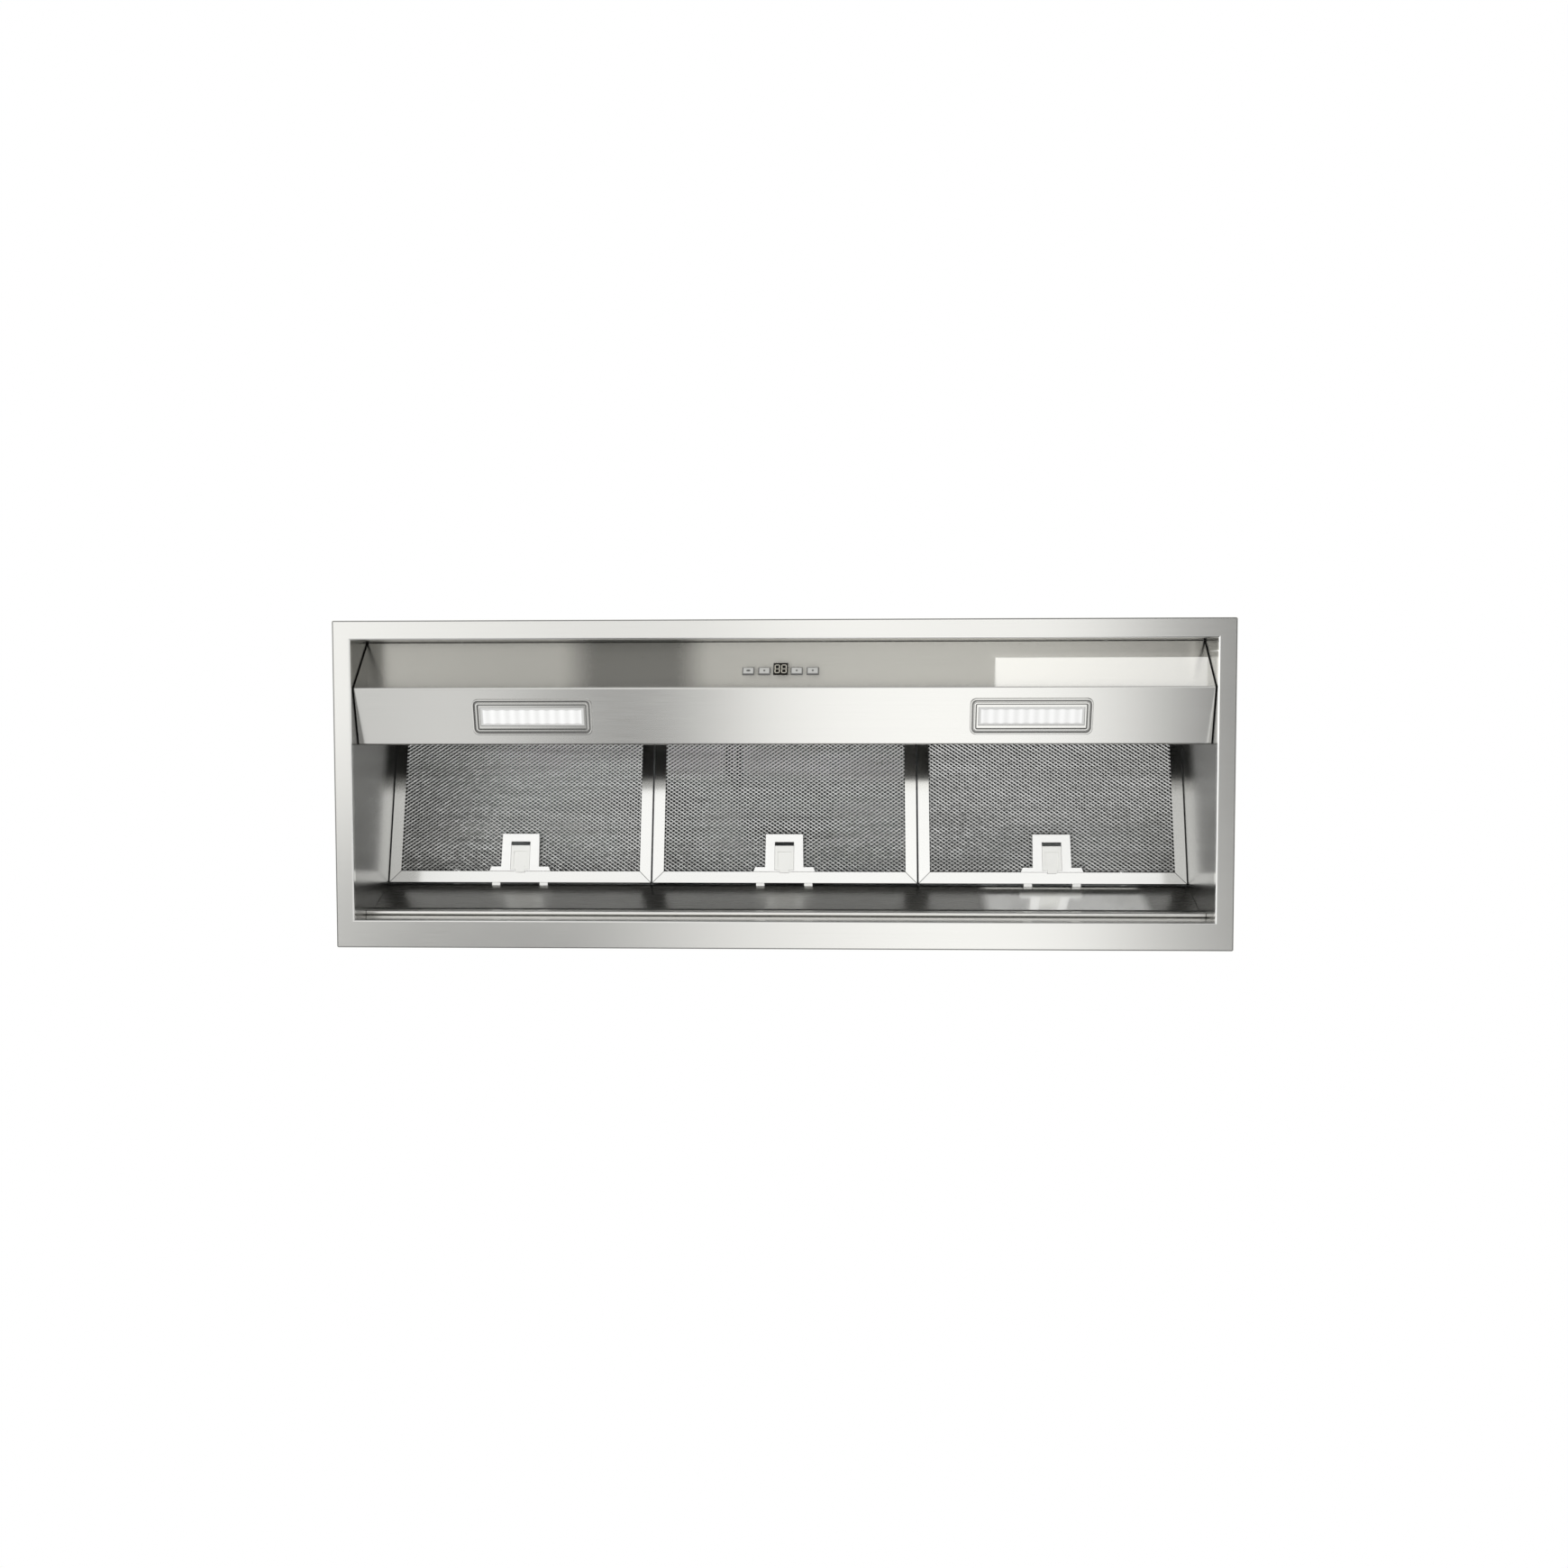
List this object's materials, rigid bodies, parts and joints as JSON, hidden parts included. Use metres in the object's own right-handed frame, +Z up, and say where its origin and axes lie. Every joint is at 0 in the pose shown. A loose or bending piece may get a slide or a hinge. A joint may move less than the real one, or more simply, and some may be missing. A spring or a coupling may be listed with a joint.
{
  "type": "range hood insert",
  "caption": "Under-cabinet range hood insert: flanged steel canopy, folded visor with keys and lamps, hinged mesh filters, blower and round duct collar.",
  "frame": {"origin": "centre of the flange's underside, the lowest plane of the hood", "axes": "+Z up towards the duct, -Y towards the front of the hood, +X along its width"},
  "size_m": [0.9, 0.33, 0.422],
  "materials": {
    "satin_steel": "brushed stainless steel, satin",
    "galvanised": "galvanised sheet, dull with spangle",
    "bright_zinc": "bright zinc plate",
    "filter_aluminium": "satin aluminium",
    "white_plastic": "white moulded nylon",
    "frosted_lens": "frosted white polycarbonate",
    "white_board": "white solder mask",
    "grey_plastic": "dark grey moulded plastic",
    "silver_key": "silver-painted key caps",
    "smoked_window": "smoked display window",
    "green_board": "green circuit board",
    "motor_enamel": "dark enamel",
    "capacitor_can": "plain pale can",
    "driver_case": "pale moulded case",
    "black_rubber": "black rubber"
  },
  "bodies": {
    "root": {"canopy_shell": "satin_steel", "visor": "satin_steel", "rear_slope": "satin_steel", "grease_gutter": "satin_steel", "filter_rail": "galvanised", "top_panel": "galvanised", "lamp_bezel_left": "satin_steel", "lamp_lens_left": "frosted_lens", "led_board_left": "white_board", "lamp_can_left": "grey_plastic", "lamp_bezel_right": "satin_steel", "lamp_lens_right": "frosted_lens", "led_board_right": "white_board", "lamp_can_right": "grey_plastic", "display_window": "smoked_window", "control_board": "green_board", "control_box": "grey_plastic", "motor_casing": "galvanised", "fan_scroll": "galvanised", "inlet_rings": "galvanised", "fan_motor": "motor_enamel", "motor_bracket": "galvanised", "duct_collar": "grey_plastic", "flap_rod": "bright_zinc", "terminal_box": "galvanised", "box_lid": "galvanised", "cable_grommet": "black_rubber", "terminal_block": "white_plastic", "capacitor": "capacitor_can", "led_driver": "driver_case", "casing_screws": "bright_zinc", "collar_screws": "bright_zinc", "visor_screws": "satin_steel"},
    "wheel": {"fan_wheel": "galvanised", "fan_shaft": "bright_zinc"},
    "flap_left": {"flap_left": "grey_plastic"},
    "flap_right": {"flap_right": "grey_plastic"},
    "filter_left": {"filter_frame_left": "filter_aluminium", "filter_mesh_left": "filter_aluminium", "latch_base_left": "white_plastic"},
    "latch_left": {"latch_slide_left": "white_plastic"},
    "filter_centre": {"filter_frame_centre": "filter_aluminium", "filter_mesh_centre": "filter_aluminium", "latch_base_centre": "white_plastic"},
    "latch_centre": {"latch_slide_centre": "white_plastic"},
    "filter_right": {"filter_frame_right": "filter_aluminium", "filter_mesh_right": "filter_aluminium", "latch_base_right": "white_plastic"},
    "latch_right": {"latch_slide_right": "white_plastic"},
    "button_1": {"push_button_1": "silver_key"},
    "button_2": {"push_button_2": "silver_key"},
    "button_3": {"push_button_3": "silver_key"},
    "button_4": {"push_button_4": "silver_key"}
  },
  "joints": [
    {"name": "filter_left_hinge", "type": "hinge", "parent": "root", "child": "filter_left", "pos_m": [-0.288, -0.1315, 0.1765], "axis": [-1, 0, 0], "range_deg": [0, 35]},
    {"name": "latch_left_slide", "type": "slide", "parent": "filter_left", "child": "latch_left", "axis": [0, -0.9724, 0.2334], "range_m": [0, 0.004], "stiffness_N_per_m": 500},
    {"name": "filter_centre_hinge", "type": "hinge", "parent": "root", "child": "filter_centre", "pos_m": [0, -0.1315, 0.1765], "axis": [-1, 0, 0], "range_deg": [0, 35]},
    {"name": "latch_centre_slide", "type": "slide", "parent": "filter_centre", "child": "latch_centre", "axis": [0, -0.9724, 0.2334], "range_m": [0, 0.004], "stiffness_N_per_m": 500},
    {"name": "filter_right_hinge", "type": "hinge", "parent": "root", "child": "filter_right", "pos_m": [0.288, -0.1315, 0.1765], "axis": [-1, 0, 0], "range_deg": [0, 35]},
    {"name": "latch_right_slide", "type": "slide", "parent": "filter_right", "child": "latch_right", "axis": [0, -0.9724, 0.2334], "range_m": [0, 0.004], "stiffness_N_per_m": 500},
    {"name": "button_1_press", "type": "slide", "parent": "root", "child": "button_1", "axis": [0, 0.6997, 0.7145], "range_m": [0, 0.001], "stiffness_N_per_m": 600},
    {"name": "button_2_press", "type": "slide", "parent": "root", "child": "button_2", "axis": [0, 0.6997, 0.7145], "range_m": [0, 0.001], "stiffness_N_per_m": 600},
    {"name": "button_3_press", "type": "slide", "parent": "root", "child": "button_3", "axis": [0, 0.6997, 0.7145], "range_m": [0, 0.001], "stiffness_N_per_m": 600},
    {"name": "button_4_press", "type": "slide", "parent": "root", "child": "button_4", "axis": [0, 0.6997, 0.7145], "range_m": [0, 0.001], "stiffness_N_per_m": 600},
    {"name": "wheel_spin", "type": "hinge", "parent": "root", "child": "wheel", "pos_m": [0, -0.016, 0.3], "axis": [1, 0, 0], "continuous": true},
    {"name": "flap_left_hinge", "type": "hinge", "parent": "root", "child": "flap_left", "pos_m": [0, 0.04574, 0.3951], "axis": [0, 1, 0], "range_deg": [0, 78]},
    {"name": "flap_right_hinge", "type": "hinge", "parent": "root", "child": "flap_right", "pos_m": [0, 0.04574, 0.3951], "axis": [0, -1, 0], "range_deg": [0, 78]}
  ]
}
